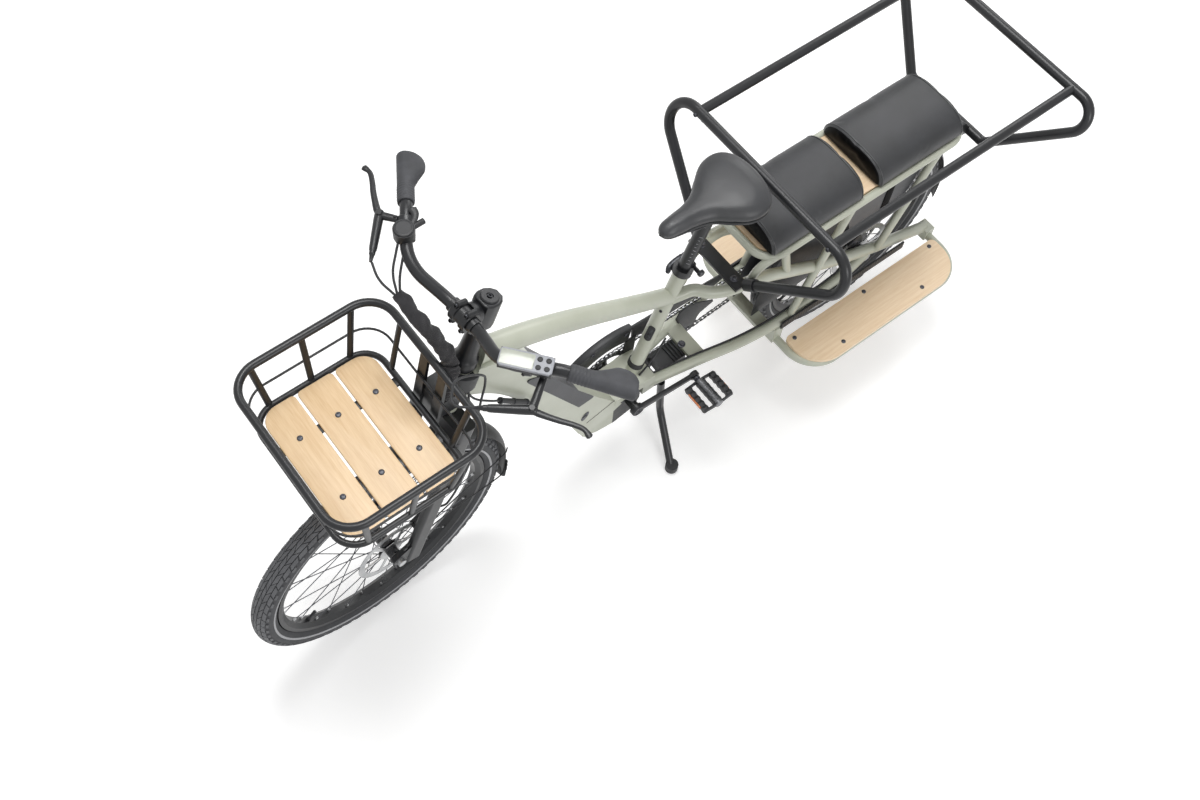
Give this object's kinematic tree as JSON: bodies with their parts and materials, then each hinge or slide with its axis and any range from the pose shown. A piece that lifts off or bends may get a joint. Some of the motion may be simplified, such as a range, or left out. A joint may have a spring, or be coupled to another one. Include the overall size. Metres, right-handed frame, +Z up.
{
  "type": "electric cargo bike",
  "caption": "Longtail electric cargo bike with a step-through frame, front basket, padded rear deck inside grab hoops, bamboo footboards and a centre stand.",
  "frame": {"origin": "on the floor under the middle of the whole bicycle, in its middle plane", "axes": "+X ahead, +Y to the rider's left, +Z up"},
  "size_m": [2.1433, 0.7061, 1.1352],
  "materials": {
    "frame_paint": "satin",
    "black_metal": "matte",
    "black_plastic": "matte",
    "bamboo": "satin",
    "black_vinyl": "satin",
    "tyre_rubber": "matte",
    "soft_rubber": "matte",
    "sleeve_cloth": "matte",
    "steel": "brushed"
  },
  "bodies": {
    "frame": {"basket_bracket": "black_metal", "basket_frame": "black_metal", "basket_slats": "bamboo", "battery": "black_metal", "chain": "steel", "chain_tensioner": "black_metal", "chainguard": "black_metal", "cushions": "black_vinyl", "deck_board": "bamboo", "deck_rails": "frame_paint", "down_tube": "frame_paint", "footboard_rails": "black_metal", "footboards": "bamboo", "frame_hoses": "soft_rubber", "front_hoop": "black_metal", "guard_strips": "black_plastic", "headset": "black_metal", "hoop_bracket": "black_metal", "lower_stays": "frame_paint", "main_frame": "frame_paint", "motor": "black_metal", "port_cover": "black_plastic", "rear_axle_bolt": "black_metal", "rear_caliper": "black_metal", "rear_hoop": "black_metal", "rear_mudguard": "black_plastic", "saddle": "black_vinyl", "seat_clamp": "black_metal", "seat_post": "black_metal", "side_bars": "black_metal", "side_panels": "black_plastic", "stand_mount": "black_metal", "upper_tubes": "frame_paint"},
    "front_wheel": {"front_tyre": "tyre_rubber", "front_rim": "black_metal", "front_hub": "black_metal", "front_rotor": "steel"},
    "rear_wheel": {"rear_tyre": "tyre_rubber", "rear_rim": "black_metal", "rear_hub": "black_metal", "rear_rotor": "steel", "rear_cog": "steel"},
    "steering": {"fork": "frame_paint", "front_mudguard": "black_plastic", "front_caliper": "black_metal", "front_axle_bolt": "black_metal", "stem": "black_metal", "handlebar": "black_metal", "grips": "soft_rubber", "brake_levers": "black_metal", "shifter": "black_plastic", "display": "black_plastic", "hose_sleeve": "sleeve_cloth", "steering_hoses": "soft_rubber"},
    "cranks": {"cranks": "black_metal", "chainring": "steel"},
    "pedal_left": {"pedal_left": "black_plastic"},
    "pedal_right": {"pedal_right": "black_plastic"},
    "centre_stand": {"centre_stand": "black_metal", "stand_feet": "soft_rubber"}
  },
  "joints": [
    {"name": "steering", "type": "hinge", "parent": "frame", "child": "steering", "pos_m": [0.6838, 0, 0.34], "axis": [-0.3584, 0, 0.9336], "range_deg": [-59.6, 50.4]},
    {"name": "front_wheel_spin", "type": "hinge", "parent": "steering", "child": "front_wheel", "pos_m": [0.73186, 0.00361, 0.33995], "axis": [-0.0749, 0.9968, -0.0287], "continuous": true},
    {"name": "rear_wheel_spin", "type": "hinge", "parent": "frame", "child": "rear_wheel", "pos_m": [-0.708, 0, 0.312], "axis": [0, 1, 0], "continuous": true},
    {"name": "crank_spin", "type": "hinge", "parent": "frame", "child": "cranks", "pos_m": [0.041, 0, 0.29], "axis": [0, 1, 0], "continuous": true},
    {"name": "pedal_left_spin", "type": "hinge", "parent": "cranks", "child": "pedal_left", "pos_m": [-0.132, 0.139, 0.29], "axis": [0, 1, 0], "continuous": true},
    {"name": "pedal_right_spin", "type": "hinge", "parent": "cranks", "child": "pedal_right", "pos_m": [0.214, -0.139, 0.29], "axis": [0, 1, 0], "continuous": true},
    {"name": "stand_fold", "type": "hinge", "parent": "frame", "child": "centre_stand", "pos_m": [-0.065, 0, 0.25], "axis": [0, 1, 0], "range_deg": [0, 65]}
  ]
}
